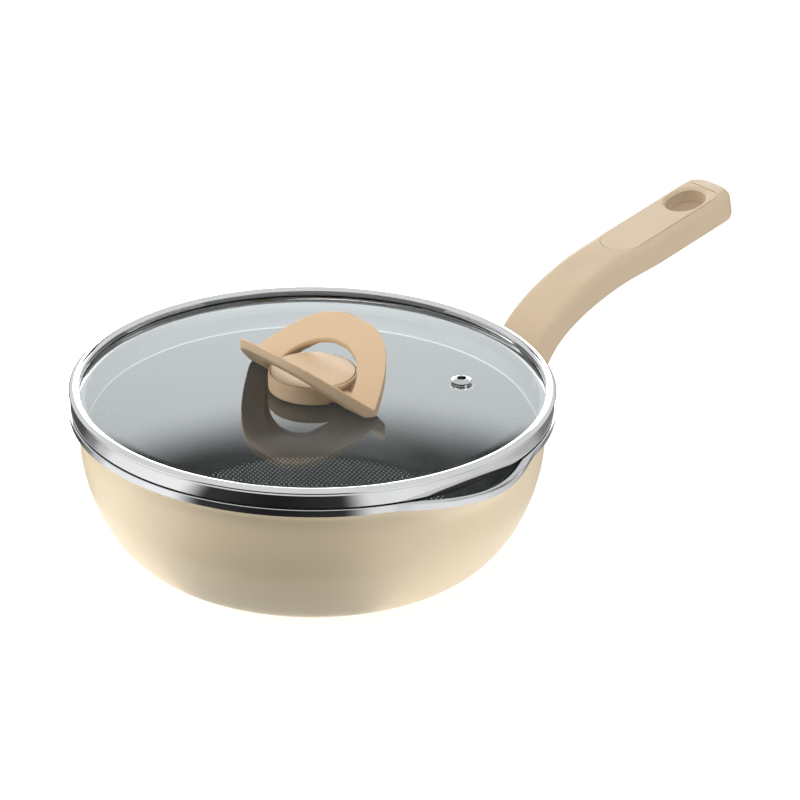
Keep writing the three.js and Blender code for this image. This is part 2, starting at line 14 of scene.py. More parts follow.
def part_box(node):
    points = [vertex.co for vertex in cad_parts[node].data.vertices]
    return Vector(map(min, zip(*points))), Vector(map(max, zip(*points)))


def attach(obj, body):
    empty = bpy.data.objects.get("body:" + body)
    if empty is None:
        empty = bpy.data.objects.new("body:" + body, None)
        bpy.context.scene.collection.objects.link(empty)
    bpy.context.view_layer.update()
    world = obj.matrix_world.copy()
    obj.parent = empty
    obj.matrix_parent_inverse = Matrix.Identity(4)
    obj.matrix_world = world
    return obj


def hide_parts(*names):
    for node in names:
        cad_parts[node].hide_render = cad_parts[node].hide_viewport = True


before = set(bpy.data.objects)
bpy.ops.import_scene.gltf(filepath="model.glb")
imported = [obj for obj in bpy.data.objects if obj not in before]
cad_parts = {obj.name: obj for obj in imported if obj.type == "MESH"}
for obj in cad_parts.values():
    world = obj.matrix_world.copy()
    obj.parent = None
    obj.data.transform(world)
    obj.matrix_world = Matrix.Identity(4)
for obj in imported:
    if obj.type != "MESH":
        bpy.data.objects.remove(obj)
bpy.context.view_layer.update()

mm = 0.001

# %% [markdown]
# The camera is a long lens, far away, so the pan keeps its proportions. It looks down by about
# 25 degrees across the lip's left side. Its place is worked out from the two angles, the distance,
# and a small step to the right and down that centres the pan with its handle in the picture.

# %% Camera
view_azimuth = math.radians(-41.5)
view_elevation = math.radians(25.267)
view_roll = math.radians(0.862)
view_distance = 1.8
lid_centre = Vector((0, 0, 87.5 * mm))
aim_right, aim_up = 43.77 * mm, -7.88 * mm

back = Vector((math.sin(view_azimuth) * math.cos(view_elevation),
               -math.cos(view_azimuth) * math.cos(view_elevation), math.sin(view_elevation)))
right = Vector((math.cos(view_azimuth), math.sin(view_azimuth), 0))
up = back.cross(right)
aim = lid_centre + right * aim_right + up * aim_up
roll = Matrix.Rotation(view_roll, 3, back)
axes = Matrix((roll @ right, roll @ up, back)).transposed()

camera = bpy.data.objects.new("camera", bpy.data.cameras.new("camera"))
camera.data.sensor_width = 36
camera.data.lens = 161.6
camera.matrix_world = Matrix.Translation(aim + back * view_distance) @ axes.to_4x4()
bpy.context.scene.collection.objects.link(camera)
bpy.context.scene.camera = camera
print("camera at", [round(c, 3) for c in camera.location])

# %% [markdown]
# A studio for shiny metal is mostly about what the metal sees. Two big soft boxes stand at the
# sides, one hangs overhead, and a tall bright panel stands behind the pan: the flat glass acts as
# a mirror at this low angle and shows it. The panel fades out at its top, so the reflection fades
# towards the front of the glass. A white tent and a card on the table, shaded from black to white
# round the pan, are seen by mirrors alone and draw the bright and dark parts of the steel. A grey
# card in front keeps the floor's light off the middle of the enamel.

# %% Floor, light and backdrop
def from_camera(turn, height_angle, distance):
    """A place seen from the pan: turn is counted from the camera's side, to the right."""
    azimuth = view_azimuth - math.pi / 2 + math.radians(turn)
    flat = distance * math.cos(math.radians(height_angle))
    return Vector((flat * math.cos(azimuth), flat * math.sin(azimuth),
                   distance * math.sin(math.radians(height_angle))))


def soft_box(name, place, size, power):
    light = bpy.data.objects.new(name, bpy.data.lights.new(name, "AREA"))
    light.data.shape = "RECTANGLE"
    light.data.size, light.data.size_y = size
    light.data.energy = power
    light.location = place
    light.rotation_euler = (lid_centre - place).to_track_quat("-Z", "Y").to_euler()
    light.visible_glossy = False
    bpy.context.scene.collection.objects.link(light)


soft_box("left_box", from_camera(-96, 16, 1.5), (1.3, 1.3), 13.5)
soft_box("right_box", from_camera(86, 16, 1.5), (1.3, 1.3), 7.4)
soft_box("top_box", from_camera(-40, 76, 1.9), (1.9, 1.9), 32)

world = bpy.data.worlds.new("studio")
bpy.context.scene.world = world
world.use_nodes = True
bpy.context.scene.view_settings.view_transform = "Standard"


def clear_selection():
    bpy.ops.object.select_all(action="DESELECT")


def pick(piece):
    """Selects one piece alone and makes it the active one."""
    clear_selection()
    piece.select_set(True)
    bpy.context.view_layer.objects.active = piece


def just_added(name):
    bpy.context.object.name = name
    return bpy.context.object


def edit_mesh():
    bpy.ops.object.mode_set(mode="EDIT")


def leave_edit():
    bpy.ops.object.mode_set(mode="OBJECT")


def select_whole_mesh():
    bpy.ops.mesh.select_all(action="SELECT")


def edit_all():
    edit_mesh()
    select_whole_mesh()


def push_out(step):
    """Extrudes what is selected, by a step in metres."""
    bpy.ops.mesh.extrude_region_move(TRANSFORM_OT_translate={"value": step})


def set_inputs(node, values):
    for name, value in values.items():
        node.inputs[name].default_value = value


def emitter(name, colour, strength):
    material = bpy.data.materials.new(name)
    material.use_nodes = True
    nodes, links = material.node_tree.nodes, material.node_tree.links
    nodes.clear()
    glow = nodes.new("ShaderNodeEmission")
    set_inputs(glow, {"Color": (*colour, 1), "Strength": strength})
    output = nodes.new("ShaderNodeOutputMaterial")
    links.new(glow.outputs[0], output.inputs["Surface"])
    return material


def place_seen_from_camera(tree):
    """The Object coordinates, turned round Z so that X points from the pan to the camera."""
    place = tree.nodes.new("ShaderNodeTexCoord")
    turn = tree.nodes.new("ShaderNodeMapping")
    turn.inputs["Rotation"].default_value = (0, 0, math.pi / 2 - view_azimuth)
    tree.links.new(place.outputs["Object"], turn.inputs["Vector"])
    return turn.outputs["Vector"]


set_inputs(world.node_tree.nodes["Background"], {"Color": (1.0, 0.995, 0.985, 1), "Strength": 0.2})
clear_selection()
bpy.ops.mesh.primitive_plane_add(size=12, location=(0, 0, 0))
floor = just_added("floor")
floor_white = bpy.data.materials.new("pale_floor")
floor_white.use_nodes = True
set_inputs(floor_white.node_tree.nodes["Principled BSDF"], {
    "Base Color": (0.6, 0.6, 0.6, 1), "Roughness": 0.9, "Specular IOR Level": 0.1,
    "Emission Color": (1, 1, 1, 1), "Emission Strength": 0.7})
floor.data.materials.append(floor_white)


def only_for_mirrors(card):
    card.visible_camera = False
    card.visible_diffuse = False
    card.visible_transmission = False
    card.visible_shadow = False


# %% The bright panel that the glass mirrors
panel_reach = 1.2
panel_low, panel_full, panel_dark, panel_high = 0.02, 0.649, 0.74, 0.9
panel_width, panel_curve, panel_strength = 0.8, 1.2, 4.3
clear_selection()
bpy.ops.mesh.primitive_plane_add(size=1)
panel = just_added("rear_panel")
edit_all()
bpy.ops.transform.resize(value=(panel_width, panel_high - panel_low, 1))
leave_edit()
panel_place = from_camera(180, 0, panel_reach)
facing = Vector((-panel_place.x, -panel_place.y, 0)).normalized()
across = Vector((-facing.y, facing.x, 0))
panel_axes = Matrix((across, Vector((0, 0, 1)), facing)).transposed().to_4x4()
panel_middle = panel_place + Vector((0, 0, (panel_low + panel_high) / 2))
panel.data.transform(Matrix.Translation(panel_middle) @ panel_axes)
panel_glow = emitter("rear_panel_glow", (0.92, 0.985, 1.0), 1.0)
tree = panel_glow.node_tree
parts = tree.nodes.new("ShaderNodeSeparateXYZ")
square, lowered = tree.nodes.new("ShaderNodeMath"), tree.nodes.new("ShaderNodeMath")
square.operation, lowered.operation = "MULTIPLY", "MULTIPLY_ADD"
lowered.inputs[1].default_value = -panel_curve
fade = tree.nodes.new("ShaderNodeMapRange")
fade.interpolation_type = "SMOOTHSTEP"
set_inputs(fade, {"From Min": panel_full, "From Max": panel_dark,
                  "To Min": panel_strength, "To Max": 0.0})
glow_strength = tree.nodes["Emission"].inputs["Strength"]
for output, socket in [(place_seen_from_camera(tree), parts.inputs[0]),
                       (parts.outputs["Y"], square.inputs[0]), (parts.outputs["Y"], square.inputs[1]),
                       (square.outputs[0], lowered.inputs[0]), (parts.outputs["Z"], lowered.inputs[2]),
                       (lowered.outputs[0], fade.inputs["Value"]), (fade.outputs["Result"], glow_strength)]:
    tree.links.new(output, socket)
panel.data.materials.append(panel_glow)
only_for_mirrors(panel)

# %% A white tent that only mirrors see
tent_radius = 1.78  # the camera stays just outside it
clear_selection()
bpy.ops.mesh.primitive_uv_sphere_add(segments=32, ring_count=16, radius=tent_radius)
tent = just_added("tent")
tent.data.materials.append(emitter("tent_glow", (0.97, 0.985, 1.0), 0.76))
only_for_mirrors(tent)

# %% The shaded card round the pan
card_height, card_near, card_far = 2 * mm, 0.13, 1.4
# How bright the card is at each angle round the pan, in degrees from the camera's side.
card_shades = [(-180, 0.5), (-150, 0.15), (-129, 0.1), (-110, 0.08), (-100, 0.25), (-92, 0.6),
               (-83, 0.95), (-51, 1.0), (-38, 0.035), (-12, 0.015), (12, 0.03), (24, 0.83),
               (36, 0.88), (49, 0.83), (75, 0.68), (101, 0.48), (114, 0.22), (150, 0.2), (180, 0.5)]
clear_selection()
bpy.ops.mesh.primitive_circle_add(vertices=64, radius=card_near, fill_type="NOTHING",
                                  location=(0, 0, 0))
ring_card = just_added("ring_card")
edit_all()
bpy.ops.transform.translate(value=(0, 0, card_height))
push_out((0, 0, 0))
growth = card_far / card_near
bpy.ops.transform.resize(value=(growth, growth, 1), center_override=(0, 0, 0))
leave_edit()
shaded = emitter("ring_card_shades", (1, 1, 1), 1.0)
tree = shaded.node_tree
sweep = tree.nodes.new("ShaderNodeTexGradient")
sweep.gradient_type = "RADIAL"
shades = tree.nodes.new("ShaderNodeValToRGB")
shades.color_ramp.interpolation = "EASE"
for angle, _ in card_shades[1:-1]:
    shades.color_ramp.elements.new(angle / 360 + 0.5)
for stop, (angle, shade_value) in zip(shades.color_ramp.elements, card_shades):
    stop.position = angle / 360 + 0.5
    stop.color = (shade_value * 0.97, shade_value * 0.98, shade_value, 1)
tree.links.new(place_seen_from_camera(tree), sweep.inputs["Vector"])
tree.links.new(sweep.outputs["Fac"], shades.inputs["Fac"])
tree.links.new(shades.outputs["Color"], tree.nodes["Emission"].inputs["Color"])
ring_card.data.materials.append(shaded)
only_for_mirrors(ring_card)

# %% A grey card that shades the front of the enamel
front_first, front_last, front_near, front_grey = -38, 20, 0.095, 0.42
clear_selection()
bpy.ops.mesh.primitive_circle_add(vertices=3, radius=mm, fill_type="NOTHING")
front_card = just_added("front_card")
edit_all()
bpy.ops.mesh.merge(type="CENTER")
start = from_camera(front_first, 0, front_near)
bpy.ops.transform.translate(value=(start.x, start.y, card_height * 1.5))
outward = start * (card_far / front_near - 1)
push_out(outward)
select_whole_mesh()
bpy.ops.mesh.spin(steps=12, angle=math.radians(front_first - front_last), center=(0, 0, 0),
                  axis=(0, 0, 1))
leave_edit()
front_card.data.materials.append(emitter("front_card_grey", (front_grey,) * 3, 1.0))
only_for_mirrors(front_card)
front_card.visible_glossy = False
front_card.visible_diffuse = True
print("stage cards:", [card.name for card in (panel, tent, ring_card, front_card)])

# %% [markdown]
# Round pieces come off a lathe or a press, so they are drawn as half a section and spun round the
# upright axis. A section starts as one point, which is pushed out edge by edge. After the spin the
# doubled points are merged, so the seam and the poles are closed, and the faces are turned outward.

# %% Helpers for turned pieces
def bezier(a, b, c, d, steps):
    points = []
    for i in range(steps + 1):
        t = i / steps
        weights = ((1 - t) ** 3, 3 * t * (1 - t) ** 2, 3 * t * t * (1 - t), t ** 3)
        points.append(tuple(sum(w * p[k] for w, p in zip(weights, (a, b, c, d)))
                            for k in range(len(a))))
    return points


def rounding(centre, radii, first, last, steps):
    """Points on an arc, or on an oval one, from one angle to another, in degrees."""
    turns = [math.radians(first + (last - first) * i / steps) for i in range(steps + 1)]
    return [(centre[0] + radii[0] * math.cos(t), centre[1] + radii[1] * math.sin(t)) for t in turns]


def start_from_point(name, place):
    clear_selection()
    bpy.ops.mesh.primitive_plane_add(size=mm)
    piece = just_added(name)
    edit_mesh()
    bpy.ops.mesh.select_mode(type="VERT")
    select_whole_mesh()
    bpy.ops.mesh.merge(type="CENTER")
    bpy.ops.transform.translate(value=place)
    return piece


def draw_line(points):
    """Pushes the selected point along the line, in millimetres."""
    for (xa, ya, za), (xb, yb, zb) in zip(points, points[1:]):
        step = ((xb - xa) * mm, (yb - ya) * mm, (zb - za) * mm)
        push_out(step)


def close_up():
    select_whole_mesh()
    bpy.ops.mesh.remove_doubles(threshold=1e-6)
    bpy.ops.mesh.normals_make_consistent(inside=False)
    leave_edit()


def shade(piece, angle=30):
    pick(piece)
    bpy.ops.object.shade_smooth_by_angle(angle=math.radians(angle))


def turned(name, section, steps=64, place=(0, 0), angle=30):
    """Spins a section of (radius, height) points, in millimetres."""
    r0, z0 = section[0]
    piece = start_from_point(name, (r0 * mm, 0, z0 * mm))
    draw_line([(r, 0, z) for r, z in section])
    select_whole_mesh()
    bpy.ops.mesh.spin(steps=steps, angle=2 * math.pi, center=(0, 0, 0), axis=(0, 0, 1))
    select_whole_mesh()
    bpy.ops.transform.translate(value=(place[0] * mm, place[1] * mm, 0))
    close_up()
    shade(piece, angle)
    print(name, "turned:", len(piece.data.polygons), "faces")
    return piece


# %% [markdown]
# The pan is pressed from one disc of aluminium. Outside it is cream enamel, its rim is left bare
# and polished, and inside it carries a dark non-stick coat. The section keeps a fine step where
# the enamel ends, because the step's thin shadow is what makes the polished rim read as metal.

# %% Sizes of the pan, from the frame
pan_low, pan_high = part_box("pan_body")
pan_height = pan_high.z / mm
rim_radius = pan_high.y / mm
belly_inset, wall_thickness, floor_z = 5.3, 6, 4.6
wall_radius = rim_radius - belly_inset
inner_radius = wall_radius - wall_thickness
base_radius, base_pull = 80.6, 19
floor_pull, floor_run = 17, 35
belly_start_z, belly_z = 34, 63
under_z = pan_low.z / mm
_, plate_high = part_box("base_plate")
plate_radius = plate_high.x / mm
plate_top = plate_high.z / mm
plate_gap = 0.3
seat_edge_z = pan_height - 12
enamel_edge_z = pan_height - 4.2
print("pan height", round(pan_height, 1), "rim radius", round(rim_radius, 1))

# %% The pan's section
pan_section = [(0, plate_top + plate_gap), (plate_radius + plate_gap, plate_top + plate_gap),
               (plate_radius + 0.5, under_z)]
pan_section += bezier((base_radius, under_z), (base_radius + base_pull, under_z),
                      (wall_radius, belly_start_z), (wall_radius, belly_z), 34)
pan_section += bezier((wall_radius, 66), (wall_radius, 70.2),
                      (wall_radius + 1.2, 72.4), (wall_radius + 4.0, enamel_edge_z - 0.15), 10)
pan_section += [(wall_radius + 4.3, enamel_edge_z + 0.05), (rim_radius - 0.5, enamel_edge_z + 0.35)]
pan_section += [(rim_radius - 0.05, pan_height - 0.6)]
pan_section += rounding((rim_radius - 0.25, pan_height - 0.25), (0.25, 0.25), 0, 90, 4)
pan_section += bezier((rim_radius - 3.2, pan_height), (rim_radius - 3.9, pan_height),
                      (rim_radius - 4.2, pan_height - 0.5), (rim_radius - 4.5, pan_height - 1.0), 5)
pan_section += [(inner_radius + 5.2, pan_height - 4), (inner_radius + 3.0, seat_edge_z + 4.5)]
pan_section += bezier((inner_radius + 1.1, seat_edge_z + 1.0), (inner_radius + 0.4, seat_edge_z + 0.6),
                      (inner_radius, seat_edge_z + 0.1), (inner_radius, seat_edge_z - 0.9), 6)
pan_section += bezier((inner_radius, seat_edge_z - 4), (inner_radius, seat_edge_z * 0.55),
                      (inner_radius - floor_pull, floor_z), (inner_radius - floor_run, floor_z), 34)
pan_section += [(60, floor_z), (30, floor_z), (0, floor_z)]
pan_shell = turned("pan_shell", pan_section, steps=192, angle=35)

# %% [markdown]
# The pouring lip is pressed outward through a narrow arc of the rim. It is a smooth swell, widest
# at the rim and dying out down the wall, so the rim's circle itself is moved by a formula: each
# point near the lip goes outward by a share of the lip's reach. The inside starts to swell lower
# than the lid's seat, which bends the seat's edge a little, as in the real pressing.

# %% Press the lip
lip_reach = (-pan_low.y - pan_high.y) / mm
lip_half_angle = math.radians(23)
lip_outside_start = pan_height - 21
lip_inside_start = seat_edge_z - 7
mouth_flare = 0.62  # outward for each millimetre up, above the seat's edge


def smooth(value):
    value = min(1, max(0, value))
    return value * value * (3 - 2 * value)


def press_lip(piece):
    for vertex in piece.data.vertices:
        x, y, z = vertex.co / mm
        radius = math.hypot(x, y)
        if radius < inner_radius / 2:
            continue
        off_axis = abs(math.atan2(y, x) + math.pi / 2) / lip_half_angle
        middle_of_wall = (wall_radius + inner_radius) / 2 + max(0, z - seat_edge_z) * mouth_flare
        inside = radius < middle_of_wall
        start = lip_inside_start if inside else lip_outside_start
        rise = smooth((z - start) / (pan_height - start))
        push = lip_reach * rise * smooth(1 - off_axis) ** 0.8
        vertex.co.x += push * mm * x / radius
        vertex.co.y += push * mm * y / radius


press_lip(pan_shell)
print("lip reaches", round(-min(v.co.y for v in pan_shell.data.vertices) / mm, 1), "mm")

# %% [markdown]
# The pan's floor carries a field of small raised studs in a staggered grid, which keep food off
# the coat. One stud is a low six-sided cone, cut off flat at its top. It is copied into two rows,
# the rows are copied over the floor, and what falls outside the flat disc is deleted. They are
# real shapes, so they catch the light through the glass as the real ones do.

# %% The studs on the floor
stud_pitch = 2.6
stud_foot, stud_top, stud_depth, stud_sink = 0.58, 0.3, 0.5, 0.05
stud_field_radius = 80.5
field_angle = 6  # degrees past the camera's line


def repeat(piece, count, step):
    array = piece.modifiers.new("repeat", "ARRAY")
    array.count = count
    array.use_relative_offset = False
    array.use_constant_offset = True
    array.constant_offset_displace = step
    bpy.context.view_layer.objects.active = piece
    bpy.ops.object.modifier_apply(modifier="repeat")


clear_selection()
bpy.ops.mesh.primitive_cone_add(vertices=6, radius1=stud_foot * mm, radius2=stud_top * mm,
                                depth=stud_depth * mm, end_fill_type="NGON")
studs = just_added("floor_studs")
row_step = stud_pitch * math.sqrt(3) / 2
per_side = int(2 * stud_field_radius / stud_pitch) + 1
rows = int(stud_field_radius / row_step) + 1
repeat(studs, 2, (stud_pitch / 2 * mm, row_step * mm, 0))
repeat(studs, per_side, (stud_pitch * mm, 0, 0))
repeat(studs, rows, (0, 2 * row_step * mm, 0))
vertices = studs.data.vertices
all_x, all_y = [v.co.x for v in vertices], [v.co.y for v in vertices]
field_middle = Vector((min(all_x) + max(all_x), min(all_y) + max(all_y), 0)) / 2
field_turn = Matrix.Rotation(view_azimuth + math.radians(field_angle), 4, "Z")
studs.data.transform(field_turn @ Matrix.Translation(-field_middle))
stud_middle_z = floor_z + stud_depth / 2 - stud_sink
studs.data.transform(Matrix.Translation((0, 0, stud_middle_z * mm)))
verts_per_stud = 12
pick(studs)
edit_mesh()
bpy.ops.mesh.select_mode(type="VERT")
bpy.ops.mesh.select_all(action="DESELECT")
leave_edit()
for first in range(0, len(vertices), verts_per_stud):
    group = vertices[first:first + verts_per_stud]
    middle = sum((v.co for v in group), Vector()) / len(group)
    for v in group:
        v.select = middle.xy.length > stud_field_radius * mm
edit_mesh()
bpy.ops.mesh.delete(type="VERT")
leave_edit()
print("studs:", len(studs.data.vertices) // verts_per_stud)

# %% [markdown]
# An induction pan carries a thin steel disc pressed into its underside. It is turned with three
# shallow rings, as such discs have, so that it can stretch when it is pressed in.

# %% The base plate
plate_section = [(0, 0.25), (9, 0.25), (9.6, 0.0)]
for ring_radius in (24, 40, 56):
    plate_section += [(ring_radius, 0), (ring_radius + 0.5, 0.3), (ring_radius + 1.8, 0.3),
                      (ring_radius + 2.3, 0)]
plate_section += [(plate_radius - 0.3, 0), (plate_radius, 0.3), (plate_radius, plate_top),
                  (0, plate_top)]
base_disc = turned("base_disc", plate_section, steps=128)

# %% [markdown]
# The lid's steel band is one strip, rolled into a bead above and a short skirt below. From the
# side it is a mirror band with a fine groove under the bead. The glass sits inside it on a small
# flange. The strip's own thickness is kept, so the bead is hollow as a rolled one is.

# %% Sizes of the lid, from the frame
band_low, band_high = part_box("lid_rim_band")
_, glass_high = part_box("lid_glass")
bead_radius = band_high.x / mm
band_radius = bead_radius - 0.5
skirt_low_z = band_low.z / mm
skirt_depth = 5.3
band_low_z = skirt_low_z + skirt_depth
crown_z = band_high.z / mm
glass_radius = glass_high.x / mm
glass_crown_z = glass_high.z / mm
glass_rise = 1.1
glass_thickness = 4.0
glass_edge_z = glass_crown_z - glass_rise
sheet = 0.9
bead_width = 5.3
skirt_radius = 114.68

# %% The lid's band
bead_half_height = 1.75
bead_middle = bead_radius - bead_width / 2
bead_z = crown_z - bead_half_height
inner_side = bead_radius - bead_width
band_section = [(band_radius - 0.08, band_low_z), (band_radius, band_low_z + 0.08)]
band_section += [(band_radius, crown_z - 3.2), (band_radius - 0.12, crown_z - 2.75),
                 (band_radius - 0.32, crown_z - 2.55), (band_radius - 0.1, crown_z - 2.35)]
band_section += rounding((bead_middle, bead_z), (bead_width / 2, bead_half_height), -12, 180, 26)
band_section += [(inner_side, bead_z - 1), (inner_side + 0.1, glass_edge_z + 0.5),
                 (inner_side + 0.35, glass_edge_z + 0.32), (inner_side + sheet, glass_edge_z + 0.32)]
band_section += [(inner_side + sheet, bead_z)]
band_section += rounding((bead_middle, bead_z), (bead_width / 2 - sheet, bead_half_height - sheet),
                         180, 0, 10)[1:]
band_section += [(band_radius - sheet, crown_z - 3), (band_radius - sheet, band_low_z + sheet),
                 (skirt_radius - sheet, band_low_z + sheet), (skirt_radius - sheet, skirt_low_z),
                 (skirt_radius - 0.2, skirt_low_z), (skirt_radius, skirt_low_z + 0.2),
                 (skirt_radius, band_low_z - 0.3), (skirt_radius + 0.3, band_low_z),
                 (band_radius - 0.08, band_low_z)]
rim_band = turned("rim_band", band_section, steps=192, angle=40)

# %% [markdown]
# The lid glass is tempered, four millimetres thick and almost flat. It is turned with rounded
# edges and a hole in the middle for the knob's screw. The hole for the steam vent is drilled to
# one side with a boolean cut, since it isn't round the same axis.

# %% The vent's place and the glass's crown
vent_low, vent_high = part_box("vent_eyelet")
vent_place = ((vent_low.x + vent_high.x) / 2 / mm, (vent_low.y + vent_high.y) / 2 / mm)


def glass_top(radius):
    share = radius / glass_radius
    return glass_edge_z + glass_rise * (1 - share * share)


# %% The lid's glass
knob_hole, vent_hole, glass_edge = 3.4, 3.4, 1.2
glass_stops = [knob_hole + 0.5, 20, 40, 60, 80, 95, 108, glass_radius - 1.6]
glass_section = [(knob_hole, glass_top(0) - glass_thickness + 0.5), (knob_hole, glass_top(0) - 0.5)]
glass_section += [(r, glass_top(r)) for r in glass_stops]
edge_x, edge_radii = glass_radius - glass_edge, (glass_edge, glass_edge)
glass_section += rounding((edge_x, glass_edge_z - glass_edge), edge_radii, 70, 0, 4)
glass_section += rounding((edge_x, glass_edge_z - glass_thickness + glass_edge), edge_radii, 0, -70, 4)
glass_section += [(r, glass_top(r) - glass_thickness) for r in reversed(glass_stops)]
glass_section += [glass_section[0]]
glass_disc = turned("glass_disc", glass_section, steps=128, angle=40)


def boolean(piece, tool, operation="DIFFERENCE"):
    change = piece.modifiers.new("cut", "BOOLEAN")
    change.operation = operation
    change.object = tool
    change.solver = "EXACT"
    bpy.context.view_layer.objects.active = piece
    bpy.ops.object.modifier_apply(modifier="cut")
    bpy.data.objects.remove(tool)


drill_section = [(0, 75), (vent_hole, 75), (vent_hole, 95), (0, 95)]
vent_drill = turned("vent_drill", drill_section, 32, vent_place)
boolean(glass_disc, vent_drill)
shade(glass_disc, 40)
print("glass:", len(glass_disc.data.polygons), "faces")

# %% [markdown]
# The steam vent is an eyelet, pressed and rolled from steel: a domed flange that rises to a small
# rolled collar, a barrel through the glass and a rolled edge below.

# %% The steam vent
vent_bore, vent_wall, flange = 2.4, 0.7, 5.5
collar_height, collar_round = 1.3, 0.45
flange_z = vent_high.z / mm - collar_height
roll_z = vent_low.z / mm
barrel = vent_bore + vent_wall
vent_section = [(vent_bore, roll_z + 0.3), (vent_bore + 0.3, roll_z), (barrel + 0.9, roll_z),
                (barrel + 1.2, roll_z + 0.3), (barrel + 0.9, roll_z + 0.6), (barrel, roll_z + 0.6),
                (barrel, flange_z), (flange - 0.3, flange_z)]
vent_section += bezier((flange, flange_z + 0.1), (flange, flange_z + 0.35),
                       (barrel + 1.5, flange_z + 0.75), (barrel + 0.35, flange_z + 0.9), 10)
vent_section += rounding((vent_bore + collar_round, flange_z + 1.05), (collar_round, collar_round),
                         0, 180, 12)
vent_section += [(vent_bore, flange_z), vent_section[0]]
vent_ring = turned("vent_ring", vent_section, 48, vent_place, angle=50)

# %% [markdown]
# The knob is one moulding: a round puck with two raised wings that meet in a fold. Seen from above
# the wings fill an oval ring, and seen from its end the ring is a V. So a long V-shaped bar is cut
# to the oval and its window is cut out. A hollow under the wings keeps the ring thin round the
# window, and the puck is joined in. The joined solid is then remade as an even skin of small faces
# and eased a little, which rounds every edge as a mould does.

# %% Sizes of the knob, from the frame
knob_low, knob_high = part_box("knob_body")
cap_low, cap_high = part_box("knob_cap")
puck_low_z = knob_low.z / mm
puck_top_z = cap_high.z / mm - 0.2
cap_low_z = cap_low.z / mm
cap_radius = cap_high.x / mm
puck_radius = cap_radius + 1.3
wing_reach = knob_high.x / mm
wing_half_span = knob_high.y / mm
window_reach, window_half_span = 18.4, 27.5
wing_rise = math.tan(math.radians(39.3))
fold_z = glass_top(0) + 5
keel_half, keel_z = 4.3, glass_top(0) + 0.6
wing_edge = 5.4
print("knob spans", round(2 * wing_half_span, 1), "by", round(2 * wing_reach, 1), "mm")


# %% Helpers for cut outlines
def prism(name, outline, push):
    """Closes an outline of points, in millimetres, and pushes it in one direction."""
    piece = start_from_point(name, [c * mm for c in outline[0]])
    draw_line(outline)
    select_whole_mesh()
    bpy.ops.mesh.edge_face_add()
    push_out([c * mm for c in push])
    close_up()
    return piece


def oval(half_span, reach, fullness, taper, steps, height):
    """An oval with pointed ends, along Y."""
    points = []
    for side in (1, -1):
        for i in range(steps):
            along = -side * half_span * math.cos(math.pi * i / steps)
            across = reach * max(0, 1 - abs(along / half_span) ** fullness) ** taper
            points.append((side * across, along, height))
    return points


# %% The wings
edge_x = wing_reach + 4
under_rise = (fold_z + wing_reach * wing_rise - wing_edge - keel_z) / (wing_reach - keel_half)
side_top = fold_z + edge_x * wing_rise
side_low = keel_z + (edge_x - keel_half) * under_rise
bar_end = wing_half_span + 5
v_outline = [(-edge_x, side_top), (-edge_x, side_low), (-keel_half, keel_z), (keel_half, keel_z),
             (edge_x, side_low), (edge_x, side_top), (0, fold_z)]
knob = prism("knob", [(x, -bar_end, z) for x, z in v_outline], (0, 2 * bar_end, 0))
ring_height = side_top - keel_z + 10
wing_oval = oval(wing_half_span, wing_reach, 2.8, 0.95, 40, keel_z - 5)
boolean(knob, prism("wing_plan", wing_oval, (0, 0, ring_height)), "INTERSECT")
window_form = (2.1, 0.59, 28)
window_oval = oval(window_half_span, window_reach, *window_form, keel_z - 6)
boolean(knob, prism("window", window_oval, (0, 0, ring_height + 2)))

# %% A hollow under the wings, round the window
shell = 3.1
hollow_low = keel_z - 6
hollow_outline = [(-edge_x, side_top - shell), (-edge_x, hollow_low), (edge_x, hollow_low),
                  (edge_x, side_top - shell), (0, fold_z - shell)]
hollow = prism("hollow", [(x, -bar_end, z) for x, z in hollow_outline], (0, 2 * bar_end, 0))
hollow_oval = oval(window_half_span + 1, window_reach + 4, *window_form, hollow_low - 1)
boolean(hollow, prism("hollow_plan", hollow_oval, (0, 0, ring_height + 4)), "INTERSECT")
boolean(knob, hollow)
print("wings:", len(knob.data.polygons), "faces")

# %% The puck
screw_room, insert_room, post, inside, seal_room = 3.0, 4.7, 7.7, 18.4, 13.3
insert_depth, seal_depth, puck_floor = 5.8, 1, 2.4
rim_z, cap_seat = puck_top_z - 0.2, cap_low_z - 0.25
puck_section = [(screw_room, puck_low_z + seal_depth), (seal_room, puck_low_z + seal_depth),
                (seal_room, puck_low_z), (puck_radius - 0.4, puck_low_z),
                (puck_radius, puck_low_z + 0.4), (puck_radius, rim_z - 0.7),
                (puck_radius - 0.25, rim_z - 0.15), (puck_radius - 0.6, rim_z),
                (cap_radius + 0.3, rim_z), (cap_radius + 0.3, cap_seat), (inside, cap_seat),
                (inside, puck_low_z + puck_floor), (post, puck_low_z + puck_floor), (post, cap_seat),
                (insert_room, cap_seat), (insert_room, cap_low_z - insert_depth),
                (screw_room, cap_low_z - insert_depth), (screw_room, puck_low_z + seal_depth)]
puck = turned("puck", puck_section, 128)
slot_half, slot_start = keel_half + 2.7, puck_radius - 2.1
slot_top, slot_low = cap_low_z - 1, puck_low_z - 1


def bar_along_y(name, half, near, far, low_z, top_z):
    corners = [(-half, near), (half, near), (half, far), (-half, far)]
    return prism(name, [(x, y, low_z) for x, y in corners], (0, 0, top_z - low_z))


for side in (1, -1):
    near, far = side * slot_start, side * (slot_start + 10)
    boolean(puck, bar_along_y("slot", slot_half, near, far, slot_low, slot_top))
boolean(knob, puck, "UNION")
for side in (1, -1):
    near, far = side * (puck_radius - 3), side * (window_half_span + 2)
    boolean(knob, bar_along_y("keel", keel_half, near, far, keel_z, fold_z), "UNION")
print("knob before the skin:", len(knob.data.polygons), "faces")


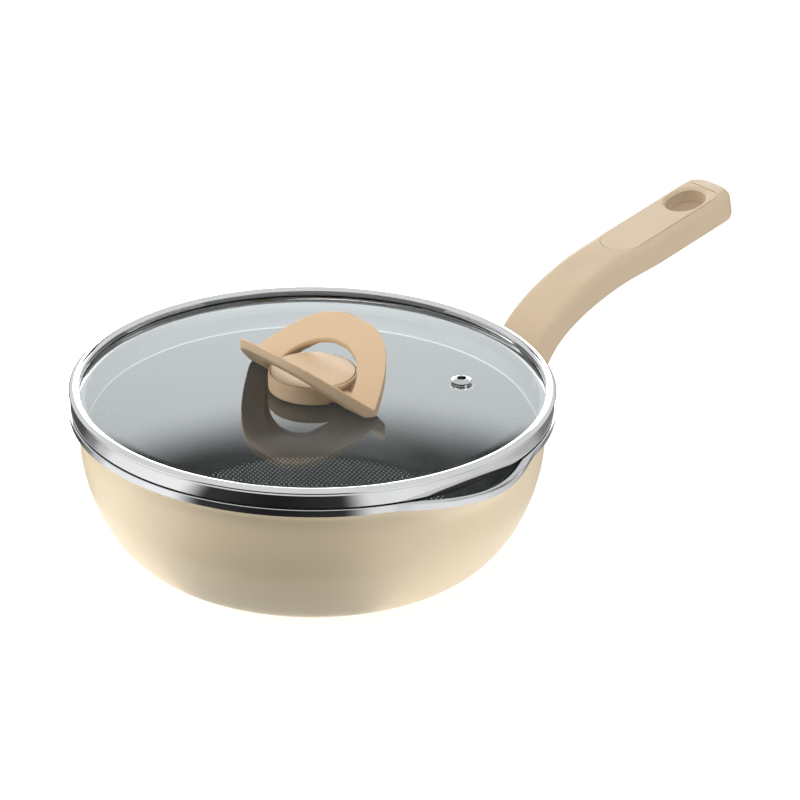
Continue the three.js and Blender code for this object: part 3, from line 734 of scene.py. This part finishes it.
# %% An even skin with eased edges
def even_skin(piece, size, rounds):
    skin = piece.modifiers.new("skin", "REMESH")
    skin.mode = "VOXEL"
    skin.voxel_size = size
    skin.adaptivity = 0
    ease = piece.modifiers.new("ease", "SMOOTH")
    ease.factor = 0.5
    ease.iterations = rounds
    pick(piece)
    bpy.ops.object.modifier_apply(modifier="skin")
    bpy.ops.object.modifier_apply(modifier="ease")
    bpy.ops.object.shade_smooth()


even_skin(knob, 0.5 * mm, 8)
print("knob:", len(knob.data.polygons), "faces")

# %% The knob's cap
cap_section = [(0, cap_low_z), (cap_radius - 0.2, cap_low_z), (cap_radius, cap_low_z + 0.2),
               (cap_radius, puck_top_z - 0.45)]
cap_section += rounding((cap_radius - 0.45, puck_top_z - 0.45), (0.45, 0.45), 0, 84, 5)[1:]
cap_section += [(15, puck_top_z + 0.1), (8, puck_top_z + 0.17), (0, puck_top_z + 0.2)]
cap_disc = turned("cap_disc", cap_section, 128)

# %% [markdown]
# The handle is one moulding with a long neck that climbs away from the rim and a straight grip. It
# is easiest to make it straight: a block gets its corners rounded, its inlay pocket and hang hole
# cut, and only then is it laid along the handle's line, which is a chain of four curves. The inlay
# is made in the same straight space, so it lands exactly in its pocket.

# %% The handle's line
handle_low, handle_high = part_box("handle_body")
handle_width = 2 * handle_high.y / mm
root_slope, neck_slope, grip_slope = math.radians(12), math.radians(50), math.radians(12.8)
root_thick, neck_thick, grip_start_thick, grip_thick = 24, 16, 17, 18.4
grip_length, grip_settle = 86, 27


def onward(spot, slope, distance):
    return spot[0] + distance * math.cos(slope), spot[1] + distance * math.sin(slope)


root = (handle_low.x / mm, 60)
neck = (root[0] + 23.5, 75.5)
grip = (root[0] + 83.5, 106.4)
grip_full = onward(grip, grip_slope, grip_settle)
grip_end = onward(grip, grip_slope, grip_length)
# Each bend: its ends, the slopes there, the thicknesses there, and how far each end pulls the curve.
bends = [(root, neck, root_slope, neck_slope, root_thick, neck_thick, 0.33, 0.3),
         (neck, grip, neck_slope, grip_slope, neck_thick, grip_start_thick, 0.25, 0.41),
         (grip, grip_full, grip_slope, grip_slope, grip_start_thick, grip_thick, 0.33, 0.33),
         (grip_full, grip_end, grip_slope, grip_slope, grip_thick, grip_thick, 0.33, 0.33)]
block_thickness = 20
bend_steps = 48
line = [(0, root, root_thick)]
for start, end, slope_a, slope_b, thick_a, thick_b, pull_a, pull_b in bends:
    span = math.dist(start, end)
    first, second = onward(start, slope_a, span * pull_a), onward(end, slope_b, -span * pull_b)
    places = bezier(start, first, second, end, bend_steps)
    for i in range(1, bend_steps + 1):
        travelled = line[-1][0] + math.dist(line[-1][1], places[i])
        line.append((travelled, places[i], thick_a + (thick_b - thick_a) * smooth(i / bend_steps)))
handle_length = line[-1][0]
grip_start = handle_length - grip_length
print("handle line:", round(handle_length, 1), "mm long")


def on_line(distance):
    """The place, the direction and the thickness of the handle, a distance along its upper line."""
    last = len(line) - 1
    index = max(1, next((i for i, row in enumerate(line) if row[0] >= distance), last))
    (sa, a, thick_a), (sb, b, thick_b) = line[index - 1], line[index]
    share = (distance - sa) / (sb - sa)
    spot = Vector((a[0] + (b[0] - a[0]) * share, a[1] + (b[1] - a[1]) * share))
    before, after = line[max(0, index - 2)][1], line[min(last, index + 1)][1]
    mid_a = Vector((b[0] - before[0], b[1] - before[1])).normalized()
    mid_b = Vector((after[0] - a[0], after[1] - a[1])).normalized()
    along = mid_a.lerp(mid_b, min(1, max(0, share))).normalized()
    return spot, along, thick_a + (thick_b - thick_a) * min(1, max(0, share))


# The tip bulges outward and its top rolls down, each over a run before the end. The top is crowned
# across, and a shallow dimple for the thumb lies where the neck ends.
tip_bulge, tip_bulge_run, tip_roll, tip_roll_run, crown = 2.0, 14, 3.2, 9.5, 1.0
dimple_depth, dimple_half, dimple_back, dimple_run = 0.9, 13, 22, 20
top_depth = 14  # the crown, dimple and roll die out this far below the top


def lay_along_line(piece):
    """Bends a straight piece to the handle's line. Its X is the distance along, its Z the depth."""
    for vertex in piece.data.vertices:
        x, y, z = vertex.co / mm
        past_grip = x - handle_length
        near_tip = smooth((past_grip + tip_bulge_run) / tip_bulge_run)
        rolled = max(0, (past_grip + tip_roll_run) / tip_roll_run) ** 2 * tip_roll
        x -= tip_bulge * near_tip * (2 * y / handle_width) ** 2
        spot, along, thickness = on_line(x)
        depth = z * thickness / block_thickness
        along_dimple = smooth(1 - abs(x - grip_start + dimple_back) / dimple_run)
        thumb = along_dimple * max(0, 1 - (y / dimple_half) ** 2) ** 2
        sunk = dimple_depth * thumb + crown * abs(2 * y / handle_width) ** 3 + rolled
        depth -= sunk * smooth(1 + z / top_depth)
        vertex.co = Vector((spot.x - along.y * depth, y, spot.y + along.x * depth)) * mm


# %% Helpers for cutting in the straight space
def select_edges(piece, keep):
    """Selects the edges whose two ends both pass the test, in millimetres."""
    pick(piece)
    edit_mesh()
    bpy.ops.mesh.select_mode(type="EDGE")
    bpy.ops.mesh.select_all(action="DESELECT")
    leave_edit()
    points = piece.data.vertices
    for edge in piece.data.edges:
        a, b = (points[i].co / mm for i in edge.vertices)
        edge.select = keep(a, b)
    edit_mesh()


def rounded_plan(back, front, half, back_radius, front_radius, grow=0, steps=10):
    """A plan outline with rounded corners, between two places along X."""
    back, front, half = back - grow, front + grow, half + grow
    back_radius, front_radius = back_radius + grow, front_radius + grow
    corners = [(front - front_radius, -half + front_radius, front_radius, -90),
               (front - front_radius, half - front_radius, front_radius, 0),
               (back + back_radius, half - back_radius, back_radius, 90),
               (back + back_radius, -half + back_radius, back_radius, 180)]
    points = []
    for x, y, radius, first in corners:
        points += rounding((x, y), (radius, radius), first, first + 90, steps)
    return points


def stacked(name, plan, levels):
    """A solid whose plan grows or shrinks from level to level. Levels are (height, growth) pairs."""
    outline = plan(levels[0][1])
    middle_x = (min(x for x, y in outline) + max(x for x, y in outline)) / 2
    piece = start_from_point(name, (outline[0][0] * mm, outline[0][1] * mm, levels[0][0] * mm))
    draw_line([(x, y, 0) for x, y in outline])
    select_whole_mesh()
    bpy.ops.mesh.edge_face_add()

    def reach(grow):
        shape = plan(grow)
        return max(x for x, y in shape) - middle_x, max(y for x, y in shape)

    for (za, grow_a), (zb, grow_b) in zip(levels, levels[1:]):
        push_out((0, 0, (zb - za) * mm))
        (ax, ay), (bx, by) = reach(grow_a), reach(grow_b)
        bpy.ops.transform.resize(value=(bx / ax, by / ay, 1), center_override=(middle_x * mm, 0, 0))
    close_up()
    return piece


# %% The straight block
tip_corner, block_edge = 10, 4.4
clear_selection()
bpy.ops.mesh.primitive_cube_add(size=1)
handle = just_added("handle")
edit_all()
bpy.ops.transform.resize(value=(handle_length * mm, handle_width * mm, block_thickness * mm))
bpy.ops.transform.translate(value=(handle_length / 2 * mm, 0, -block_thickness / 2 * mm))
leave_edit()
tip_x = handle_length - 0.01
select_edges(handle, lambda a, b: a.x > tip_x and b.x > tip_x and abs(a.y - b.y) < 0.01)
bpy.ops.mesh.bevel(offset=tip_corner * mm, segments=12)
leave_edit()
for face_z in (0, -block_thickness):
    select_edges(handle, lambda a, b: abs(a.z - face_z) < 0.01 and abs(b.z - face_z) < 0.01
                 and not (a.x < 0.01 and b.x < 0.01))
    bpy.ops.mesh.bevel(offset=block_edge * mm, segments=7)
    leave_edit()

# %% Slices across the neck, so that it can bend
slice_step = 2.0
pick(handle)
edit_mesh()
cut_at = slice_step
while cut_at < grip_start + grip_settle:
    select_whole_mesh()
    bpy.ops.mesh.bisect(plane_co=(cut_at * mm, 0, 0), plane_no=(1, 0, 0))
    cut_at += slice_step
for y in (-9, -6, -3, 0, 3, 6, 9):
    select_whole_mesh()
    bpy.ops.mesh.bisect(plane_co=(0, y * mm, 0), plane_no=(0, 1, 0))
leave_edit()
print("handle block:", len(handle.data.polygons), "faces")

# %% The inlay, its collar and the hang hole
inlay_back, inlay_front = handle_length - 85, handle_length - 11
inlay_half, inlay_tip_corner = 12.5, 5
hole_front, hole_length, hole_half = handle_length - 13.8, 23, 9.75
hole_back, hole_corner = hole_front - hole_length, hole_half - 0.3
fit, seam_round = 0.22, 0.3


def inlay_plan(grow):
    return rounded_plan(inlay_back, inlay_front, inlay_half, inlay_half, inlay_tip_corner, grow)


def hole_plan(grow):
    return rounded_plan(hole_back, hole_front, hole_half, hole_corner, hole_corner, grow, 12)


collar_wall, collar_depth, inlay_depth, inlay_sunk = 1.6, 9, 2.2, 0.05
upper_lip, lower_lip, bottom_room = 1.7, 1.6, 0.25
hole_lip = [(1, 2.6), (0.001, 1.9)]
for angle in range(10, 91, 10):
    turn = math.radians(angle)
    hole_lip.append((-upper_lip * math.sin(turn), upper_lip * (1 - math.cos(math.pi / 2 - turn))))
inlay = stacked("inlay", inlay_plan, [(-inlay_sunk, -seam_round),
                                      (-inlay_sunk - seam_round * 0.3, -seam_round * 0.4),
                                      (-inlay_sunk - seam_round, 0), (-inlay_depth, 0)])
collar = stacked("collar", lambda grow: hole_plan(grow + collar_wall), [(-0.4, 0), (-collar_depth, 0)])
boolean(inlay, collar, "UNION")
boolean(inlay, stacked("hole", hole_plan, hole_lip + [(-collar_depth - 1, 0)]))
pocket_levels = [(1, 1), (0.001, seam_round + 0.05), (-seam_round * 0.4, seam_round * 0.3),
                 (-seam_round, 0), (-inlay_depth - bottom_room, 0)]
boolean(handle, stacked("pocket", lambda grow: inlay_plan(grow + fit), pocket_levels))
boolean(handle, stacked("collar_room", lambda grow: hole_plan(grow + collar_wall + fit),
                        [(-1, 0), (-collar_depth - bottom_room, 0)]))
hole_levels = [(-collar_depth + 1, 0)]
for angle in range(0, 91, 15):
    turn = math.radians(angle)
    hole_levels.append((-block_thickness + lower_lip * (1 - math.sin(turn)),
                        lower_lip * (1 - math.cos(turn))))
hole_levels.append((-block_thickness - 1, lower_lip + 0.2))
boolean(handle, stacked("through_hole", hole_plan, hole_levels))

# %% Lay the handle along its line and cut its fastening holes
lay_along_line(handle)
lay_along_line(inlay)
boss_low, boss_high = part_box("handle_boss")
boss_z = (boss_low.z + boss_high.z) / 2 / mm
boss_end = boss_high.x / mm


def bar_along_x(name, radius, first, last):
    clear_selection()
    bpy.ops.mesh.primitive_cylinder_add(vertices=40, radius=radius * mm, depth=(last - first) * mm,
                                        rotation=(0, math.pi / 2, 0))
    bar = just_added(name)
    bpy.ops.object.transform_apply(location=True, rotation=True, scale=True)
    bar.data.transform(Matrix.Translation(Vector(((first + last) / 2, 0, boss_z)) * mm))
    return bar


boss_gap, room_start = 0.3, root[0] - 10
half_width = boss_high.y / mm + boss_gap
half_height = (boss_high.z - boss_low.z) / 2 / mm + boss_gap
boss_plan = rounded_plan(-half_height, half_height, half_width, half_height - 1, half_height - 1)
boss_room = stacked("boss_room", lambda grow: boss_plan,
                    [(0, 0), (boss_end + boss_gap - room_start, 0)])
boss_room.data.transform(Matrix.Translation(Vector((room_start, 0, boss_z)) * mm)
                         @ Matrix.Rotation(math.pi / 2, 4, "Y"))
boolean(handle, boss_room)
hole_radius, well_radius, screw_seat = 3.0, 5.8, boss_end + 6
boolean(handle, bar_along_x("screw_hole", hole_radius, boss_end - 1, screw_seat + 1))
boolean(handle, bar_along_x("screw_well", well_radius, screw_seat, screw_seat + 30))
shade(handle, 32)
shade(inlay, 32)
for piece in (handle, inlay):
    even = piece.modifiers.new("even_shading", "WEIGHTED_NORMAL")
    even.keep_sharp = True
    bpy.context.view_layer.objects.active = piece
    bpy.ops.object.modifier_apply(modifier="even_shading")
print("handle:", len(handle.data.polygons), "faces; inlay:", len(inlay.data.polygons), "faces")

# %% [markdown]
# Finishes. Every surface gets its colour, its gloss and its fine relief from nodes that read the
# piece's own Object coordinates, so the pattern has a real size and stays put. A few small helpers
# keep the node work short: one makes noise of a given grain, one turns noise into a range.

# %% Helpers for finishes
def shader_of(material):
    return material.node_tree.nodes["Principled BSDF"]


def new_finish(name, colour, roughness, metallic=0.0):
    material = bpy.data.materials.new(name)
    material.use_nodes = True
    set_inputs(shader_of(material), {"Base Color": (*colour, 1), "Roughness": roughness,
                                     "Metallic": metallic})
    return material


def noise(material, grain, stretch=(1, 1, 1), detail=3.0):
    """Noise whose grains are about this many millimetres wide, stretched along an axis."""
    nodes, links = material.node_tree.nodes, material.node_tree.links
    place = nodes.new("ShaderNodeTexCoord")
    scale = nodes.new("ShaderNodeMapping")
    set_inputs(scale, {"Scale": tuple(1 / (grain * mm * s) for s in stretch)})
    cloud = nodes.new("ShaderNodeTexNoise")
    set_inputs(cloud, {"Scale": 1.0, "Detail": detail})
    links.new(place.outputs["Object"], scale.inputs["Vector"])
    links.new(scale.outputs["Vector"], cloud.inputs["Vector"])
    return cloud.outputs["Fac"]


def ranged(material, value, low, high, start=0.3, end=0.7):
    nodes, links = material.node_tree.nodes, material.node_tree.links
    fit_range = nodes.new("ShaderNodeMapRange")
    set_inputs(fit_range, {"From Min": start, "From Max": end, "To Min": low, "To Max": high})
    links.new(value, fit_range.inputs["Value"])
    return fit_range.outputs["Result"]


def vary_colour(material, value, colour, other, start=0.3, end=0.7):
    links = material.node_tree.links
    mix = material.node_tree.nodes.new("ShaderNodeMix")
    mix.data_type = "RGBA"
    mix.inputs["A"].default_value = (*colour, 1)
    mix.inputs["B"].default_value = (*other, 1)
    links.new(ranged(material, value, 0, 1, start, end), mix.inputs["Factor"])
    links.new(mix.outputs["Result"], shader_of(material).inputs["Base Color"])


def vary_roughness(material, value, low, high):
    spread = ranged(material, value, low, high)
    material.node_tree.links.new(spread, shader_of(material).inputs["Roughness"])


def relief(material, value, height):
    """Bumps of about this height, in millimetres."""
    links = material.node_tree.links
    bump = material.node_tree.nodes.new("ShaderNodeBump")
    set_inputs(bump, {"Strength": 1.0, "Distance": height * mm})
    links.new(value, bump.inputs["Height"])
    links.new(bump.outputs["Normal"], shader_of(material).inputs["Normal"])


# %% [markdown]
# Enamel is fired glass: smooth, softly glossy, with a faint orange-peel ripple and hardly any
# change of colour. The moulded plastics are rougher, with the fine even grain of a spark-eroded
# mould. The knob is a touch redder than the handle.

# %% Enamel and mouldings
cream = (0.80, 0.67, 0.46)
cream_enamel = new_finish("cream_enamel", cream, 0.4)
vary_colour(cream_enamel, noise(cream_enamel, 55), cream, (0.775, 0.645, 0.44))
vary_roughness(cream_enamel, noise(cream_enamel, 9), 0.36, 0.46)
relief(cream_enamel, noise(cream_enamel, 2.6, detail=1.0), 0.012)
set_inputs(shader_of(cream_enamel), {"Coat Weight": 0.15, "Coat Roughness": 0.2})


def moulding(name, colour, other, rough):
    material = new_finish(name, colour, rough)
    vary_colour(material, noise(material, 30), colour, other)
    vary_roughness(material, noise(material, 6), rough - 0.05, rough + 0.05)
    relief(material, noise(material, 0.32, detail=2.0), 0.02)
    return material


handle_beige = moulding("handle_beige", (0.585, 0.46, 0.32), (0.57, 0.445, 0.305), 0.5)
inlay_beige = moulding("inlay_beige", (0.60, 0.475, 0.33), (0.585, 0.46, 0.315), 0.42)
knob_beige = moulding("knob_beige", (0.63, 0.46, 0.295), (0.615, 0.445, 0.28), 0.5)

# %% [markdown]
# The bare steel of the rim and the lid is buffed in the round, so its fine scratches run round the
# pan: noise squeezed along Z and drawn out along X and Y gives them. The base disc is brushed and
# duller, and so are the small fastenings. The bare edge of the lid's seat is a dull, pale grey and
# not metal: partly the coat's bare edge, partly a painted highlight that draws the edge's bright line.

# %% Metals
def buffed(name, colour, low, high, grain, stretch, height):
    metal = new_finish(name, colour, low, 1.0)
    lines = noise(metal, grain, stretch)
    vary_roughness(metal, lines, low, high)
    vary_colour(metal, noise(metal, 18), colour, tuple(c * 0.96 for c in colour))
    relief(metal, lines, height)
    return metal


round_lines = (90, 90, 1)
rim_steel = buffed("rim_steel", (0.86, 0.865, 0.87), 0.05, 0.11, 0.35, round_lines, 0.0006)
lid_steel = buffed("lid_steel", (0.87, 0.868, 0.86), 0.04, 0.09, 0.35, round_lines, 0.0005)
vent_steel = buffed("vent_steel", (0.72, 0.72, 0.72), 0.06, 0.14, 1.5, (1, 1, 1), 0.001)
base_steel = buffed("base_steel", (0.7, 0.7, 0.7), 0.22, 0.4, 0.5, (60, 1, 1), 0.004)
fastener_steel = buffed("fastener_steel", (0.72, 0.72, 0.71), 0.2, 0.38, 0.6, (1, 1, 8), 0.004)
# Painted highlight: the seat edge's band is a pale grey, not metal, so it shows as a bright line in the
# lamps' light.
bare_edge_and_highlight = buffed("bare_edge_and_highlight", (0.42, 0.43, 0.43), 0.3, 0.4, 0.35, round_lines, 0.002)
set_inputs(shader_of(bare_edge_and_highlight), {"Metallic": 0.0})
boss_aluminium = buffed("boss_aluminium", (0.78, 0.78, 0.79), 0.3, 0.45, 0.8, (6, 1, 1), 0.006)
insert_brass = buffed("insert_brass", (0.72, 0.52, 0.24), 0.2, 0.34, 0.6, (1, 1, 6), 0.004)

# %% [markdown]
# The non-stick coat is sprayed on: near black, with a fine grain and scattered pale flecks that
# glint. The flecks are the peaks of a fine noise. The studs are painted pale all over: a painted highlight
# for the glints they catch.

# %% Non-stick coat, studs and rubber
def coat(name, colour, fleck, start, end):
    material = new_finish(name, colour, 0.4)
    vary_colour(material, noise(material, 0.42, detail=1.0), colour, fleck, start, end)
    vary_roughness(material, noise(material, 1.2), 0.3, 0.46)
    relief(material, noise(material, 0.5), 0.018)
    return material


nonstick = coat("nonstick", (0.018, 0.019, 0.021), (0.22, 0.23, 0.23), 0.69, 0.74)
# Painted highlight: the studs are painted a pale grey all over, standing in for the glints they catch.
stud_highlight_coat = coat("stud_highlight_coat", (0.34, 0.36, 0.36), (0.5, 0.52, 0.52), 0.45, 0.65)
silicone = new_finish("silicone", (0.045, 0.045, 0.047), 0.6)
vary_roughness(silicone, noise(silicone, 2), 0.5, 0.7)
relief(silicone, noise(silicone, 0.5), 0.01)

# %% [markdown]
# The lid's glass is clear with a faint green. It bends and mirrors light by its shader. For lamps'
# shadow rays alone a transparent shader takes over, so the light reaches the inside of the pan.

# %% Glass
clear_glass = new_finish("clear_glass", (0.965, 0.985, 0.98), 0.0)
glass_shader = shader_of(clear_glass)
set_inputs(glass_shader, {"Transmission Weight": 1.0, "IOR": 1.5})
vary_roughness(clear_glass, noise(clear_glass, 25), 0.0, 0.012)
glass_nodes, glass_links = clear_glass.node_tree.nodes, clear_glass.node_tree.links
for_lamps = glass_nodes.new("ShaderNodeBsdfTransparent")
set_inputs(for_lamps, {"Color": (0.9, 0.93, 0.92, 1)})
ray_kind = glass_nodes.new("ShaderNodeLightPath")
either = glass_nodes.new("ShaderNodeMixShader")
glass_links.new(ray_kind.outputs["Is Shadow Ray"], either.inputs["Fac"])
glass_links.new(glass_shader.outputs["BSDF"], either.inputs[1])
glass_links.new(for_lamps.outputs["BSDF"], either.inputs[2])
glass_links.new(either.outputs["Shader"], glass_nodes["Material Output"].inputs["Surface"])

# %% [markdown]
# Now each piece gets its finish, hides the imported node it stands for, and rides on the pan or on
# the lid. The pan's shell has four finishes, told apart by where each face lies. The small inner
# pieces keep their imported shapes, and only their finishes are new.

# %% Finish the pan's shell
shell_finishes = (cream_enamel, rim_steel, nonstick, bare_edge_and_highlight)
for material in shell_finishes:
    pan_shell.data.materials.append(material)
enamel, steel, dark, edge = range(4)
for face in pan_shell.data.polygons:
    x, y, z = face.center / mm
    flat = Vector((x, y)).normalized()
    outward = face.normal.x * flat.x + face.normal.y * flat.y
    if z > pan_height - 0.75 or (z > enamel_edge_z + 0.05 and outward > -0.2):
        face.material_index = steel
    # The narrow band at the seat's edge takes the pale grey with the painted highlight.
    elif abs(z - seat_edge_z + 0.1) < 0.45 and outward < -0.05:
        face.material_index = edge
    elif outward < -0.05 or face.normal.z > 0.5:
        face.material_index = dark
    else:
        face.material_index = enamel
counts = [sum(f.material_index == k for f in pan_shell.data.polygons) for k in range(4)]
print("shell faces by finish:", dict(zip((m.name for m in shell_finishes), counts)))


# %% Hand every piece to the frame
def settle(piece, body, slot, material, *nodes):
    if material:
        piece.data.materials.clear()
        piece.data.materials.append(material)
    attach(piece, body)
    if nodes:
        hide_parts(*nodes)


settle(pan_shell, "pan", "pan_enamel", None, "pan_body")
settle(studs, "pan", "pan_enamel", stud_highlight_coat)
settle(base_disc, "pan", "base_steel", base_steel, "base_plate")
settle(handle, "pan", "handle_moulding", handle_beige, "handle_body")
settle(inlay, "pan", "handle_moulding", inlay_beige, "handle_inlay")
settle(rim_band, "lid", "lid_steel", lid_steel, "lid_rim_band")
settle(glass_disc, "lid", "lid_glass", clear_glass, "lid_glass")
settle(vent_ring, "lid", "lid_steel", vent_steel, "vent_eyelet")
settle(knob, "lid", "knob_moulding", knob_beige, "knob_body")
settle(cap_disc, "lid", "knob_moulding", knob_beige, "knob_cap")

kept_shapes = [(fastener_steel, "handle_washer handle_screw vent_washer knob_washer knob_screw"),
               (silicone, "vent_gasket knob_upper_seal knob_lower_seal"),
               (boss_aluminium, "handle_boss"), (insert_brass, "knob_insert")]
for material, nodes in kept_shapes:
    for node in nodes.split():
        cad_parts[node].material_slots[0].material = material
